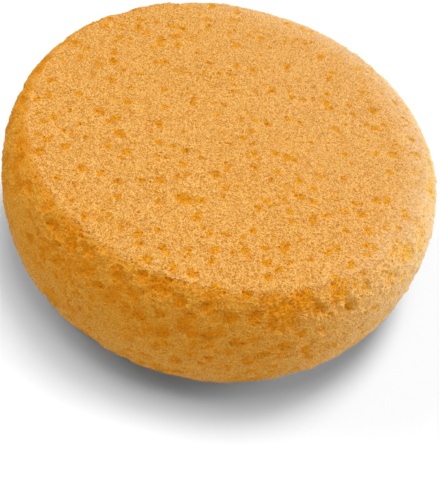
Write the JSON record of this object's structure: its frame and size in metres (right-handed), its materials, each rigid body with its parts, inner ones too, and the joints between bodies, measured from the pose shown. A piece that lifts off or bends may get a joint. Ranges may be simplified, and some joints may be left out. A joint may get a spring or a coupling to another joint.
{
  "type": "makeup sponge",
  "caption": "Round soft foam sponge with two flat faces, a rounded side and open pores, for putting on or wiping off makeup.",
  "frame": {"origin": "centre of the lower flat face, on the surface that the sponge lies on", "axes": "+Z along the disc's axis, from the lower face to the upper one; X and Y are free, because the disc is round"},
  "size_m": [0.075, 0.075, 0.025],
  "materials": {
    "foam": "matte"
  },
  "bodies": {
    "root": {"foam_body": "foam"}
  },
  "joints": []
}
